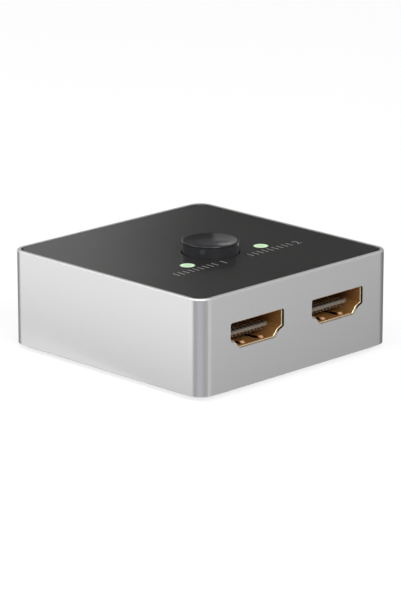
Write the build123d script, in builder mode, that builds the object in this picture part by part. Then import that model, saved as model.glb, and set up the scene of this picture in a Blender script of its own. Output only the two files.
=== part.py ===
from build123d import *
import os

# Two-into-one video switch box: a square aluminium frame with a black top
# panel, one push button, two status lights, two sockets at the front (-Y)
# and one at the rear (+Y). Millimetres; the origin is on the table, under
# the middle of the box, and the heights below are taken from there.

# Frame, a square ring that is open above and below
body_side = 55.0
body_height = 20.0
corner_radius = 3.3
wall = 2.0
rim_width = 0.8  # top edge that is left around the panel
rim_chamfer = 0.2
base_chamfer = 0.2
post_side = 5.0  # corner post that takes a cover screw
post_radius = 1.2
post_screw_inset = 2.7  # screw axis, from the inner face of the wall

# Top panel and the tape that holds it
panel_thickness = 1.5
panel_recess = 0.05
panel_gap = 0.1
panel_corner_radius = 3.2
tape_thickness = 0.15
tape_width = 1.0

# Button cap
button_radius = 5.9
button_rise = 2.5  # above the panel
button_offset = 2.9  # from the middle of the panel towards the front
button_hole_gap = 0.2
button_wall = 1.0
button_lip = 0.45
button_lip_radius = 0.15
button_dish_depth = 0.55
button_crown = 1.0  # least thickness under the dish
flange_width = 1.0
flange_thickness = 0.8
flange_gap = 0.15  # between the flange and the panel, button up
boss_radius = 2.6
boss_length = 3.6
button_travel = 1.8

# Latching push switch under the button
switch_side = 8.5
switch_base_thickness = 1.0
switch_housing_height = 5.0
switch_wall = 0.9
switch_roof = 0.8
piston_gap = 0.1
piston_height = 2.0
piston_bore_radius = 2.1
piston_bore_depth = 1.2
stem_side = 2.6
stem_gap = 0.15
stem_insertion = 2.8  # length of the stem inside the boss
spring_radius = 1.5
spring_wire = 0.25
spring_turns = 3
pin_columns = 3
pin_rows = 2
pin_width = 0.6
pin_thickness = 0.3
pin_pitch = 2.5
pin_spacing = 5.6
pin_length = 3.5
pin_gap = 0.1

# Status lights and their light guides
light_gap = 1.35  # between the flanges of the light guide and of the button
light_offset_y = 6.9  # from the middle of the panel towards the front
guide_radius = 1.65
guide_gap = 0.05
guide_recess = 0.05
guide_flange_width = 0.7
guide_flange_thickness = 0.8
guide_stem_radius = 1.45
guide_air_gap = 0.3  # between the guide and its lamp
lamp_length = 2.0
lamp_width = 1.25
lamp_height = 0.8

# Sockets: shell, insulator and contacts
socket_centre_drop = 8.95  # below the top of the frame
middle_gap_share = 0.7455  # of the free width, between the two front sockets
shell_width = 15.0
shell_height = 5.5
shell_depth = 12.0
shell_thickness = 0.22
shell_recess = 0.42  # of the mouth, behind the wall's outer face
shell_gap = 0.06  # between the shell and the cut-out in the wall
shell_mouth_chamfer = 0.08
side_height = 3.6  # upright part of the shell's sides
shoulder_width = 1.32
shoulder_drop = 0.53
taper_width = 1.2
top_corner_radius = 0.5
shoulder_radius = 0.4
low_corner_radius = 0.6
finger_offset = 2.6
finger_width = 1.3
finger_slot_width = 2.0
finger_root_depth = 5.6
finger_crest_depth = 1.55
finger_tip_depth = 0.85
finger_slot_lead = 0.3  # slot beyond the finger's tip
finger_rise = 0.35
leg_width = 1.0
leg_length = 2.4  # below the top of the board
leg_depth = 5.4  # of the front pair of legs
leg_inset = 1.4  # of the rear pair, from the back of the shell
leg_gap = 0.15
block_depth = 8.2  # front face of the insulator's block
block_gap = 0.02
tongue_width = 10.5
tongue_depth = 2.13  # front edge of the tongue
tongue_drop = 0.05  # of its top face, below the socket's centre
tongue_thickness = 1.2
tongue_tip_thickness = 0.65
tongue_taper_length = 1.1
contact_width = 0.42
contact_thickness = 0.2
contact_inlay = 0.08  # depth of the contact's groove
contact_depth = 2.35  # front end of the contacts
contact_pitch = 1.0
upper_contacts = 10
lower_contacts = 9
tail_length = 0.5  # behind the shell, before the tail turns down
tail_foot_length = 0.9

# Circuit board and what is soldered to it
board_thickness = 1.6
board_side_gap = 0.3
board_end_gap = 1.8  # room to slide the sockets into the two walls
board_screw_inset_x = 4.0  # from the inner faces of the frame
board_screw_inset_y = 14.5
chip_side = 6.5
chip_height = 0.9
chip_offset = 5.6  # towards the rear
chip_chamfer = 0.4
chip_mark_radius = 0.4
chip_mark_depth = 0.1
array_length = 1.0
array_width = 1.2
array_height = 0.6
array_pitch = 2.2
array_count = 4
array_gap = 0.5  # behind the contacts' feet
passive_length = 1.6
passive_width = 0.8
passive_pitch = 2.4
upper_passive_height = 0.8  # the capacitors, on top of the board
upper_passive_offset_x = 8.0
upper_passive_offset_y = 4.0
lower_passive_height = 0.45  # the resistors, under the board
lower_passive_gap = 0.4  # between them and the switch's pins
capacitor_rows = 5
resistor_columns = 3
resistor_rows = 2

# Bottom cover, its screws and feet
cover_rim = 1.0
cover_gap = 0.1
cover_thickness = 1.5
pillar_radius = 2.3
rib_width = 1.0
rib_height = 1.4
screw_radius = 1.0
screw_gap = 0.05
cover_screw_length = 6.0
cover_head_radius = 1.9
cover_head_edge = 0.2
cover_head_angle = 90
board_screw_length = 4.5
board_head_radius = 1.75
board_head_height = 1.2
board_head_edge = 0.4
recess_length = 1.7  # cross recess in the screw heads
recess_width = 0.4
recess_depth = 0.6
foot_height = 0.8  # below the frame
foot_radius = 4.0
foot_inlay = 0.4
foot_gap = 0.1
foot_edge = 0.3
foot_inset = 11.0  # of the foot's middle, from the outer faces

overrun = 1.0  # of cuts, past the faces that they open
samples = 24  # points on each half turn, to measure the spring's gaps

# Levels and places that follow from the sizes above
inner_side = body_side - 2 * wall
body_bottom = foot_height
body_top = body_bottom + body_height
panel_top = body_top - panel_recess
panel_bottom = panel_top - panel_thickness
ledge_top = panel_bottom - tape_thickness
panel_pocket_side = body_side - 2 * rim_width
panel_side = panel_pocket_side - 2 * panel_gap
cover_top = body_bottom + cover_thickness
cover_pocket_side = body_side - 2 * cover_rim
cover_side = cover_pocket_side - 2 * cover_gap
post_screw_spacing = inner_side - 2 * post_screw_inset
socket_centre = body_top - socket_centre_drop
free_width = inner_side - 2 * post_side - 2 * shell_width
socket_offset = shell_width / 2 + free_width * middle_gap_share / 2
board_top = socket_centre - shell_height / 2
board_bottom = board_top - board_thickness
board_width = inner_side - 2 * board_side_gap
board_length = inner_side - 2 * board_end_gap
mouth_distance = body_side / 2 - shell_recess
leg_depths = (leg_depth, shell_depth - leg_inset)
array_depth = shell_depth + tail_length + tail_foot_length + array_gap + array_width / 2
board_screw_x = inner_side / 2 - board_screw_inset_x
board_screw_y = inner_side / 2 - board_screw_inset_y
foot_offset = body_side / 2 - foot_inset
resistor_edge_y = button_offset + (pin_spacing + pin_thickness) / 2 + lower_passive_gap
resistor_offset_y = resistor_edge_y + ((resistor_rows - 1) * passive_pitch + passive_length) / 2
light_offset_x = button_radius + flange_width + light_gap + guide_flange_width + guide_radius

button_plane = Plane.XZ.offset(button_offset)
button_axis = Axis((0, -button_offset, 0), (0, 0, 1))
button_top = panel_top + button_rise
flange_top = panel_bottom - flange_gap
crown_top = button_top - button_dish_depth
button_ceiling = crown_top - button_crown
boss_bottom = button_ceiling - boss_length
switch_base_top = board_top + switch_base_thickness
switch_top = switch_base_top + switch_housing_height
piston_side = switch_side - 2 * switch_wall - 2 * piston_gap
piston_top = switch_top - switch_roof - piston_gap
piston_bottom = piston_top - piston_height
spring_seat = piston_bottom + piston_bore_depth
guide_top = panel_top - guide_recess
guide_bottom = board_top + lamp_height + guide_air_gap
light_places = (
    (-light_offset_x, -light_offset_y),
    (light_offset_x, -light_offset_y),
)


def at(x, y, z):
    """Horizontal plane with its origin at the point given."""
    return Plane(origin=(x, y, z))


os.makedirs("parts", exist_ok=True)

# Outline of a socket's shell: upright sides, then a shoulder and a taper
with BuildSketch() as shell_outline:
    half_width = shell_width / 2
    top = shell_height / 2
    shoulder_top = top - side_height
    shoulder_bottom = shoulder_top - shoulder_drop
    right_side = (
        (half_width, top),
        (half_width, shoulder_top),
        (half_width - shoulder_width, shoulder_bottom),
        (half_width - shoulder_width - taper_width, -top),
    )
    left_side = [(-x, y) for x, y in reversed(right_side)]
    Polygon(*right_side, *left_side, align=None)
    fillet(shell_outline.vertices().group_by(Axis.Y)[-1], top_corner_radius)
    fillet(shell_outline.vertices().group_by(Axis.Y)[0], low_corner_radius)
    shoulders = shell_outline.vertices().filter_by_position(Axis.Y, shoulder_bottom, shoulder_top)
    fillet(shoulders, shoulder_radius)
with BuildSketch() as shell_bore:
    add(shell_outline.sketch)
    offset(amount=-shell_thickness)
with BuildSketch() as wall_opening:
    add(shell_outline.sketch)
    offset(amount=shell_gap)

# Planes of the three mouths: x along the wall, y up, z out of the box
front = Plane.front.offset(mouth_distance)
rear = Plane.back.offset(mouth_distance)
mouths = {
    "front_left": front.shift_origin((-socket_offset, -mouth_distance, socket_centre)),
    "front_right": front.shift_origin((socket_offset, -mouth_distance, socket_centre)),
    "rear": rear.shift_origin((0, mouth_distance, socket_centre)),
}

# Frame
with BuildPart() as body_frame:
    with BuildSketch(Plane.XY.offset(body_bottom)):
        RectangleRounded(body_side, body_side, corner_radius)
    extrude(amount=body_height)
    chamfer(body_frame.edges().group_by(Axis.Z)[-1], rim_chamfer)
    chamfer(body_frame.edges().group_by(Axis.Z)[0], base_chamfer)
    with BuildSketch(Plane.XY.offset(body_bottom - overrun)):
        RectangleRounded(inner_side, inner_side, corner_radius - rim_width)
        with GridLocations(inner_side, inner_side, 2, 2):
            RectangleRounded(2 * post_side, 2 * post_side, post_radius, mode=Mode.SUBTRACT)
    extrude(amount=body_height + 2 * overrun, mode=Mode.SUBTRACT)
    with BuildSketch(Plane.XY.offset(ledge_top)):
        RectangleRounded(panel_pocket_side, panel_pocket_side, corner_radius - rim_width)
    extrude(amount=body_height, mode=Mode.SUBTRACT)
    with BuildSketch(Plane.XY.offset(cover_top)):
        RectangleRounded(cover_pocket_side, cover_pocket_side, corner_radius - cover_rim)
    extrude(amount=-body_height, mode=Mode.SUBTRACT)
    with BuildSketch(Plane.XY.offset(cover_top)):
        with GridLocations(post_screw_spacing, post_screw_spacing, 2, 2):
            Circle(screw_radius + screw_gap)
    extrude(amount=cover_screw_length, mode=Mode.SUBTRACT)
    for mouth in mouths.values():
        with BuildSketch(mouth.offset(shell_recess + overrun)):
            add(wall_opening.sketch)
        extrude(amount=-(wall + 2 * overrun), mode=Mode.SUBTRACT)
body_frame.part.label = "body_frame"
export_step(body_frame.part, "parts/body_frame.step")

# Tape ring on the ledge
with BuildPart() as panel_tape:
    with BuildSketch(Plane.XY.offset(ledge_top)):
        tape_side = inner_side + 2 * tape_width
        RectangleRounded(tape_side, tape_side, corner_radius - rim_width)
        RectangleRounded(inner_side, inner_side, corner_radius - rim_width, mode=Mode.SUBTRACT)
    extrude(amount=tape_thickness)
panel_tape.part.label = "panel_tape"
export_step(panel_tape.part, "parts/panel_tape.step")

# Top panel with holes for the button and the light guides
with BuildPart() as top_panel:
    with BuildSketch(Plane.XY.offset(panel_bottom)):
        RectangleRounded(panel_side, panel_side, panel_corner_radius)
        with Locations((0, -button_offset)):
            Circle(button_radius + button_hole_gap, mode=Mode.SUBTRACT)
        with Locations(*light_places):
            Circle(guide_radius + guide_gap, mode=Mode.SUBTRACT)
    extrude(amount=panel_thickness)
top_panel.part.label = "top_panel"
export_step(top_panel.part, "parts/top_panel.step")

# Button cap: dished top with a lip, a flange that stays under the panel,
# and a boss with a square socket for the switch's stem
with BuildPart() as button_cap:
    with BuildSketch(button_plane) as cap_profile:
        with BuildLine():
            flange_bottom = flange_top - flange_thickness
            flange_radius = button_radius + flange_width
            lip_inside = button_radius - button_lip
            bore_radius = button_radius - button_wall
            TangentArc((0, crown_top), (lip_inside, button_top), tangent=(1, 0))
            Polyline(
                (lip_inside, button_top),
                (button_radius, button_top),
                (button_radius, flange_top),
                (flange_radius, flange_top),
                (flange_radius, flange_bottom),
                (bore_radius, flange_bottom),
                (bore_radius, button_ceiling),
                (boss_radius, button_ceiling),
                (boss_radius, boss_bottom),
                (0, boss_bottom),
                (0, crown_top),
            )
        make_face()
        lip_corner = cap_profile.vertices().group_by(Axis.Y)[-1].sort_by(Axis.X)[-1]
        fillet(lip_corner, button_lip_radius)
    revolve(axis=button_axis)
    with BuildSketch(at(0, -button_offset, boss_bottom)):
        Rectangle(stem_side, stem_side)
    extrude(amount=stem_insertion, mode=Mode.SUBTRACT)
button_cap.part.label = "button_cap"
export_step(button_cap.part, "parts/button_cap.step")

# Switch: plunger, spring, housing, base and pins
with BuildPart() as switch_plunger:
    with BuildSketch(at(0, -button_offset, piston_bottom)):
        Rectangle(piston_side, piston_side)
    extrude(amount=piston_height)
    with BuildSketch(at(0, -button_offset, piston_bottom)):
        Circle(piston_bore_radius)
    extrude(amount=piston_bore_depth, mode=Mode.SUBTRACT)
    with BuildSketch(at(0, -button_offset, piston_top)):
        Rectangle(stem_side, stem_side)
    extrude(amount=boss_bottom + stem_insertion - piston_top)
switch_plunger.part.label = "switch_plunger"
export_step(switch_plunger.part, "parts/switch_plunger.step")

with BuildPart() as switch_spring:
    coil_foot = switch_base_top + spring_wire / 2
    half_turn_rise = (spring_seat - switch_base_top - spring_wire) / (2 * spring_turns)
    with BuildLine() as coil:
        for half_turn in range(2 * spring_turns):
            way = (-1) ** half_turn
            low = coil_foot + half_turn * half_turn_rise
            ThreePointArc(
                (way * spring_radius, -button_offset, low),
                (0, way * spring_radius - button_offset, low + half_turn_rise / 2),
                (-way * spring_radius, -button_offset, low + half_turn_rise),
            )
    with BuildSketch(Plane(origin=coil.line @ 0, z_dir=coil.line % 0)):
        Circle(spring_wire / 2)
    sweep()
    half_turns = [[arc @ (step / samples) for step in range(samples)] for arc in coil.edges()]
    turn_gap = min(
        (here - there).length - spring_wire
        for number, lower in enumerate(half_turns)
        for upper in half_turns[number + 2:]
        for here in lower
        for there in upper
    )
    print("least gap between turns of the spring:", turn_gap)
switch_spring.part.label = "switch_spring"
export_step(switch_spring.part, "parts/switch_spring.step")

with BuildPart() as switch_housing:
    with BuildSketch(at(0, -button_offset, switch_base_top)):
        Rectangle(switch_side, switch_side)
    extrude(amount=switch_housing_height)
    with BuildSketch(at(0, -button_offset, switch_base_top)):
        cavity_side = switch_side - 2 * switch_wall
        Rectangle(cavity_side, cavity_side)
    extrude(amount=switch_housing_height - switch_roof, mode=Mode.SUBTRACT)
    with BuildSketch(at(0, -button_offset, switch_top)):
        Rectangle(stem_side + 2 * stem_gap, stem_side + 2 * stem_gap)
    extrude(amount=-switch_roof, mode=Mode.SUBTRACT)
switch_housing.part.label = "switch_housing"
export_step(switch_housing.part, "parts/switch_housing.step")

with BuildPart() as switch_pins:
    with BuildSketch(at(0, -button_offset, board_top)):
        with GridLocations(pin_pitch, pin_spacing, pin_columns, pin_rows):
            Rectangle(pin_width, pin_thickness)
    extrude(amount=-(pin_length - switch_base_thickness / 2))
    extrude(switch_pins.faces().group_by(Axis.Z)[-1], amount=switch_base_thickness / 2)
switch_pins.part.label = "switch_pins"
export_step(switch_pins.part, "parts/switch_pins.step")

with BuildPart() as switch_base:
    with BuildSketch(at(0, -button_offset, board_top)):
        Rectangle(switch_side, switch_side)
    extrude(amount=switch_base_thickness)
    add(switch_pins.part, mode=Mode.SUBTRACT)
switch_base.part.label = "switch_base"
export_step(switch_base.part, "parts/switch_base.step")

# Light guides, glued to the panel by their flanges
for side, place in zip(("left", "right"), light_places):
    with BuildPart() as light_guide:
        with BuildSketch(at(*place, guide_bottom)):
            Circle(guide_stem_radius)
        extrude(amount=panel_bottom - guide_bottom)
        with BuildSketch(at(*place, panel_bottom)):
            Circle(guide_radius + guide_flange_width)
        extrude(amount=-guide_flange_thickness)
        with BuildSketch(at(*place, panel_bottom)):
            Circle(guide_radius)
        extrude(amount=guide_top - panel_bottom)
    light_guide.part.label = f"light_guide_{side}"
    export_step(light_guide.part, f"parts/light_guide_{side}.step")

with BuildPart() as status_lamps:
    with BuildSketch(Plane.XY.offset(board_top)):
        with Locations(*light_places):
            Rectangle(lamp_length, lamp_width)
    extrude(amount=lamp_height)
status_lamps.part.label = "status_lamps"
export_step(status_lamps.part, "parts/status_lamps.step")

# Sockets
for name, mouth in mouths.items():
    side_view = Plane(origin=mouth.origin, x_dir=mouth.z_dir, z_dir=-mouth.x_dir)
    wall_faces = (shell_height / 2, shell_height / 2 - shell_thickness)

    # Shell: folded sheet with spring fingers and four board legs
    with BuildPart() as shell:
        with BuildSketch(mouth):
            add(shell_outline.sketch)
        extrude(amount=-shell_depth)
        with BuildSketch(mouth):
            add(shell_bore.sketch)
        extrude(amount=-shell_depth, mode=Mode.SUBTRACT)
        lip = shell.faces().sort_by(Axis(mouth.origin, mouth.z_dir))[-1]
        chamfer(lip.edges(), shell_mouth_chamfer)
        for across in (-finger_offset, finger_offset):
            with BuildSketch(side_view.offset(across)):
                with Locations((-finger_root_depth, 0)):
                    Rectangle(finger_root_depth - finger_tip_depth + finger_slot_lead,
                              shell_height + 2 * overrun, align=(Align.MIN, Align.CENTER))
            extrude(amount=finger_slot_width / 2, both=True, mode=Mode.SUBTRACT)
            for up in (-1, 1):
                outside, inside = (up * level for level in wall_faces)
                with BuildSketch(side_view.offset(across)):
                    Polygon(
                        (-finger_root_depth, outside),
                        (-finger_root_depth, inside),
                        (-finger_crest_depth, inside - up * finger_rise),
                        (-finger_tip_depth, inside),
                        (-finger_tip_depth, outside),
                        (-finger_crest_depth, outside - up * finger_rise),
                        align=None,
                    )
                extrude(amount=finger_width / 2, both=True)
        for depth in leg_depths:
            with BuildSketch(mouth.offset(-depth)):
                with GridLocations(shell_width - shell_thickness, 0, 2, 1):
                    Rectangle(shell_thickness, shell_height / 2 + leg_length,
                              align=(Align.CENTER, Align.MAX))
            extrude(amount=leg_width / 2, both=True)
    shell.part.label = f"{name}_shell"
    export_step(shell.part, f"parts/{name}_shell.step")

    # Contacts: two interleaved rows of strips, each with a tail to the board
    tongue_top = -tongue_drop
    tongue_bottom = tongue_top - tongue_thickness
    tail_depth = shell_depth + tail_length
    rows = (
        (upper_contacts, tongue_top + contact_thickness - contact_inlay),
        (lower_contacts, tongue_bottom + contact_inlay),
    )
    with BuildPart() as contacts:
        for count, strip_top in rows:
            strip_bottom = strip_top - contact_thickness
            board_level = -shell_height / 2
            for index in range(count):
                across = (index - (count - 1) / 2) * contact_pitch
                with BuildSketch(side_view.offset(across)):
                    Polygon(
                        (-contact_depth, strip_top),
                        (-tail_depth, strip_top),
                        (-tail_depth, board_level + contact_thickness),
                        (-tail_depth - tail_foot_length, board_level + contact_thickness),
                        (-tail_depth - tail_foot_length, board_level),
                        (-tail_depth + contact_thickness, board_level),
                        (-tail_depth + contact_thickness, strip_bottom),
                        (-contact_depth, strip_bottom),
                        align=None,
                    )
                extrude(amount=contact_width / 2, both=True)
    contacts.part.label = f"{name}_contacts"
    export_step(contacts.part, f"parts/{name}_contacts.step")

    # Insulator: a block at the back of the shell and the grooved tongue
    with BuildPart() as insulator:
        with BuildSketch(mouth.offset(-block_depth)):
            add(shell_bore.sketch)
            offset(amount=-block_gap)
        extrude(amount=-(shell_depth - block_depth))
        with BuildSketch(side_view):
            Polygon(
                (-block_depth, tongue_top),
                (-tongue_depth, tongue_top),
                (-tongue_depth, tongue_top - tongue_tip_thickness),
                (-tongue_depth - tongue_taper_length, tongue_bottom),
                (-block_depth, tongue_bottom),
                align=None,
            )
        extrude(amount=tongue_width / 2, both=True)
        for count, level in ((upper_contacts, tongue_top), (lower_contacts, tongue_bottom)):
            with BuildSketch(mouth.offset(-contact_depth)):
                with Locations((0, level)):
                    with GridLocations(contact_pitch, 0, count, 1):
                        Rectangle(contact_width, 2 * contact_inlay)
            extrude(amount=contact_depth, mode=Mode.SUBTRACT)
        add(contacts.part, mode=Mode.SUBTRACT)
    insulator.part.label = f"{name}_insulator"
    export_step(insulator.part, f"parts/{name}_insulator.step")

# Circuit board, notched round the corner posts
with BuildPart() as circuit_board:
    with BuildSketch(Plane.XY.offset(board_top)):
        Rectangle(board_width, board_length)
        with GridLocations(inner_side, inner_side, 2, 2):
            notch_side = 2 * (post_side + board_side_gap)
            Rectangle(notch_side, notch_side, mode=Mode.SUBTRACT)
        with GridLocations(2 * board_screw_x, 2 * board_screw_y, 2, 2):
            Circle(screw_radius + screw_gap, mode=Mode.SUBTRACT)
        with Locations((0, -button_offset)):
            with GridLocations(pin_pitch, pin_spacing, pin_columns, pin_rows):
                Rectangle(pin_width + 2 * pin_gap, pin_thickness + 2 * pin_gap,
                          mode=Mode.SUBTRACT)
    extrude(amount=-board_thickness)
    for mouth in mouths.values():
        for depth in leg_depths:
            with BuildSketch(mouth.offset(-depth)):
                with Locations((0, -shell_height / 2)):
                    with GridLocations(shell_width - shell_thickness, 0, 2, 1):
                        Rectangle(shell_thickness + 2 * leg_gap, 2 * board_thickness + overrun)
            extrude(amount=leg_width / 2 + leg_gap, both=True, mode=Mode.SUBTRACT)
circuit_board.part.label = "circuit_board"
export_step(circuit_board.part, "parts/circuit_board.step")

# Switching chip under the board, with its corner mark
with BuildPart() as switch_chip:
    with BuildSketch(at(0, chip_offset, board_bottom)):
        Rectangle(chip_side, chip_side)
    extrude(amount=-chip_height)
    chamfer(switch_chip.edges().filter_by(Axis.Z).sort_by(Axis.X)[0], chip_chamfer)
    with BuildSketch(at(0, chip_offset, board_bottom - chip_height)):
        mark_place = chip_side / 2 - 2 * chip_mark_radius
        with Locations((-mark_place, mark_place)):
            Circle(chip_mark_radius)
    extrude(amount=chip_mark_depth, mode=Mode.SUBTRACT)
switch_chip.part.label = "switch_chip"
export_step(switch_chip.part, "parts/switch_chip.step")

# Surge protection arrays behind each socket
with BuildPart() as surge_arrays:
    for mouth in mouths.values():
        with BuildSketch(mouth.offset(-array_depth)):
            with Locations((0, -shell_height / 2)):
                with GridLocations(array_pitch, 0, array_count, 1):
                    Rectangle(array_length, array_height, align=(Align.CENTER, Align.MIN))
        extrude(amount=array_width / 2, both=True)
surge_arrays.part.label = "surge_arrays"
export_step(surge_arrays.part, "parts/surge_arrays.step")

with BuildPart() as capacitors:
    with BuildSketch(at(0, upper_passive_offset_y, board_top)):
        with GridLocations(2 * upper_passive_offset_x, passive_pitch, 2, capacitor_rows):
            Rectangle(passive_length, passive_width)
    extrude(amount=upper_passive_height)
capacitors.part.label = "capacitors"
export_step(capacitors.part, "parts/capacitors.step")

with BuildPart() as resistors:
    with BuildSketch(at(0, -resistor_offset_y, board_bottom)):
        with GridLocations(passive_pitch, passive_pitch, resistor_columns, resistor_rows):
            Rectangle(passive_width, passive_length)
    extrude(amount=-lower_passive_height)
resistors.part.label = "resistors"
export_step(resistors.part, "parts/resistors.step")

# Board screws, down through the board into the cover's pillars
with BuildPart() as board_screws:
    with BuildSketch(Plane.XY.offset(board_top)):
        with GridLocations(2 * board_screw_x, 2 * board_screw_y, 2, 2):
            Circle(board_head_radius)
    extrude(amount=board_head_height)
    chamfer(board_screws.edges().group_by(Axis.Z)[-1], board_head_edge)
    with BuildSketch(Plane.XY.offset(board_top)):
        with GridLocations(2 * board_screw_x, 2 * board_screw_y, 2, 2):
            Circle(screw_radius)
    extrude(amount=-board_screw_length)
    with BuildSketch(Plane.XY.offset(board_top + board_head_height)):
        with GridLocations(2 * board_screw_x, 2 * board_screw_y, 2, 2):
            Rectangle(recess_length, recess_width)
            Rectangle(recess_width, recess_length)
    extrude(amount=-recess_depth, mode=Mode.SUBTRACT)
board_screws.part.label = "board_screws"
export_step(board_screws.part, "parts/board_screws.step")

# Cover screws, up through the cover into the corner posts
with BuildPart() as cover_screws:
    head_depth = cover_head_radius - screw_radius  # a cone of 90 degrees
    with BuildSketch(Plane.XY.offset(body_bottom)):
        with GridLocations(post_screw_spacing, post_screw_spacing, 2, 2):
            Circle(cover_head_radius)
    extrude(amount=cover_head_edge + head_depth)
    chamfer(cover_screws.edges().group_by(Axis.Z)[-1], head_depth)
    with BuildSketch(Plane.XY.offset(body_bottom)):
        with GridLocations(post_screw_spacing, post_screw_spacing, 2, 2):
            Circle(screw_radius)
    extrude(amount=cover_screw_length)
    with BuildSketch(Plane.XY.offset(body_bottom)):
        with GridLocations(post_screw_spacing, post_screw_spacing, 2, 2):
            Rectangle(recess_length, recess_width)
            Rectangle(recess_width, recess_length)
    extrude(amount=recess_depth, mode=Mode.SUBTRACT)
cover_screws.part.label = "cover_screws"
export_step(cover_screws.part, "parts/cover_screws.step")

# Bottom cover with board pillars, ribs, screw seats and foot recesses
with BuildPart() as bottom_cover:
    with BuildSketch(Plane.XY.offset(body_bottom)):
        RectangleRounded(cover_side, cover_side, corner_radius - cover_rim - cover_gap)
    extrude(amount=cover_thickness)
    with BuildSketch(Plane.XY.offset(cover_top)):
        with GridLocations(2 * board_screw_x, 0, 2, 1):
            Rectangle(rib_width, 2 * board_screw_y)
        with GridLocations(0, 2 * board_screw_y, 1, 2):
            Rectangle(2 * board_screw_x, rib_width)
    extrude(amount=rib_height)
    with BuildSketch(Plane.XY.offset(cover_top)):
        with GridLocations(2 * board_screw_x, 2 * board_screw_y, 2, 2):
            Circle(pillar_radius)
    extrude(amount=board_bottom - cover_top)
    with BuildSketch(Plane.XY.offset(board_bottom)):
        with GridLocations(2 * board_screw_x, 2 * board_screw_y, 2, 2):
            Circle(screw_radius + screw_gap)
    extrude(amount=-(board_screw_length - board_thickness), mode=Mode.SUBTRACT)
    with BuildSketch(Plane.XY.offset(body_bottom)):
        with GridLocations(2 * foot_offset, 2 * foot_offset, 2, 2):
            Circle(foot_radius + foot_gap)
    extrude(amount=foot_inlay, mode=Mode.SUBTRACT)
    with Locations(-Plane.XY.offset(body_bottom + cover_head_edge)):
        with GridLocations(post_screw_spacing, post_screw_spacing, 2, 2):
            CounterSinkHole(screw_radius + screw_gap, cover_head_radius + screw_gap,
                            counter_sink_angle=cover_head_angle)
bottom_cover.part.label = "bottom_cover"
export_step(bottom_cover.part, "parts/bottom_cover.step")

# Rubber feet, glued into the recesses
with BuildPart() as rubber_feet:
    with BuildSketch():
        with GridLocations(2 * foot_offset, 2 * foot_offset, 2, 2):
            Circle(foot_radius)
    extrude(amount=foot_height + foot_inlay)
    chamfer(rubber_feet.edges().group_by(Axis.Z)[0], foot_edge)
rubber_feet.part.label = "rubber_feet"
export_step(rubber_feet.part, "parts/rubber_feet.step")
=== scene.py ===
import math

import bmesh
import bpy
from mathutils import Matrix, Vector


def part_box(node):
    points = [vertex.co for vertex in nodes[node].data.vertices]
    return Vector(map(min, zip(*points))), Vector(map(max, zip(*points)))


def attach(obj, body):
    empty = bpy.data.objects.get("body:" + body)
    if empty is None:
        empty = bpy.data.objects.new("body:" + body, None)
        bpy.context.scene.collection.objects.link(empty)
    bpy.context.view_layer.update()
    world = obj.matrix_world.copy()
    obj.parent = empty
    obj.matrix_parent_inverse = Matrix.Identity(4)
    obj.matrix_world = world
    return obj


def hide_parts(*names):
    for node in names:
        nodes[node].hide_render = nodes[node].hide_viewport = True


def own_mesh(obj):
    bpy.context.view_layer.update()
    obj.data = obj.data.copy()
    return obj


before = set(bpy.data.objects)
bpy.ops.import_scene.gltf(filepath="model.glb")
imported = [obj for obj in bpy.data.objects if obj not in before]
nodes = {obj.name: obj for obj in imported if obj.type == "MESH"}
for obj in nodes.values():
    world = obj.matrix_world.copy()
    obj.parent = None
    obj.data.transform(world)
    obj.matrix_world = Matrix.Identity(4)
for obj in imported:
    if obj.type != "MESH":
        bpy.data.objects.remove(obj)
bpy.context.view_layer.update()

MM = 0.001

# Places on the box, in metres, as the solids have them
window_low, window_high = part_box("light_guide_right")
WINDOW_X = (window_low[0] + window_high[0]) / 2  # the other window is its mirror image
WINDOW_Y = (window_low[1] + window_high[1]) / 2
WINDOW_RADIUS = 1.65 * MM
PANEL_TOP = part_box("top_panel")[1][2]
BODY_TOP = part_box("body_frame")[1][2]
BODY_FRONT = -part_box("body_frame")[0][1]
MOUTH = -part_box("front_left_shell")[0][1]
SOCKET_X = (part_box("front_right_shell")[0][0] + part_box("front_right_shell")[1][0]) / 2
TONGUE_FRONT = -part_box("front_left_insulator")[0][1]
CONTACT_FRONT = -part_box("front_left_contacts")[0][1]
CONTACT_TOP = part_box("front_left_contacts")[1][2]

SKIN = 0.04 * MM  # a finish that belongs to the outside reaches this deep
EDGE_BLUR = 0.02 * MM  # width of a crisp change of finish


def hex_colour(text):
    """Linear colour from an sRGB hex value."""
    values = [int(text[i:i + 2], 16) / 255 for i in (1, 3, 5)]
    return [v / 12.92 if v <= 0.04045 else ((v + 0.055) / 1.055) ** 2.4 for v in values] + [1.0]


def add_node(tree, kind, inputs=None, **settings):
    """Adds a node; inputs gives values or other nodes' outputs by socket."""
    made = tree.nodes.new(kind)
    for name, value in settings.items():
        setattr(made, name, value)
    for socket, value in (inputs or {}).items():
        if isinstance(value, bpy.types.NodeSocket):
            tree.links.new(value, made.inputs[socket])
        else:
            made.inputs[socket].default_value = value
    return made


def new_material(name):
    """An empty material, its tree and its object coordinates."""
    material = bpy.data.materials.new(name)
    material.use_nodes = True
    tree = material.node_tree
    tree.nodes.clear()
    place = add_node(tree, "ShaderNodeTexCoord").outputs["Object"]
    return material, tree, place


def new_piece(name, shape, material):
    """Puts a finished bmesh into the scene as an object of its own."""
    mesh = bpy.data.meshes.new(name)
    shape.to_mesh(mesh)
    shape.free()
    mesh.materials.append(material)
    piece = bpy.data.objects.new(name, mesh)
    bpy.context.scene.collection.objects.link(piece)
    return piece


def per_metre(size_mm):
    """Noise scale that gives features of about this size."""
    return 1 / (size_mm * MM)


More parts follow.
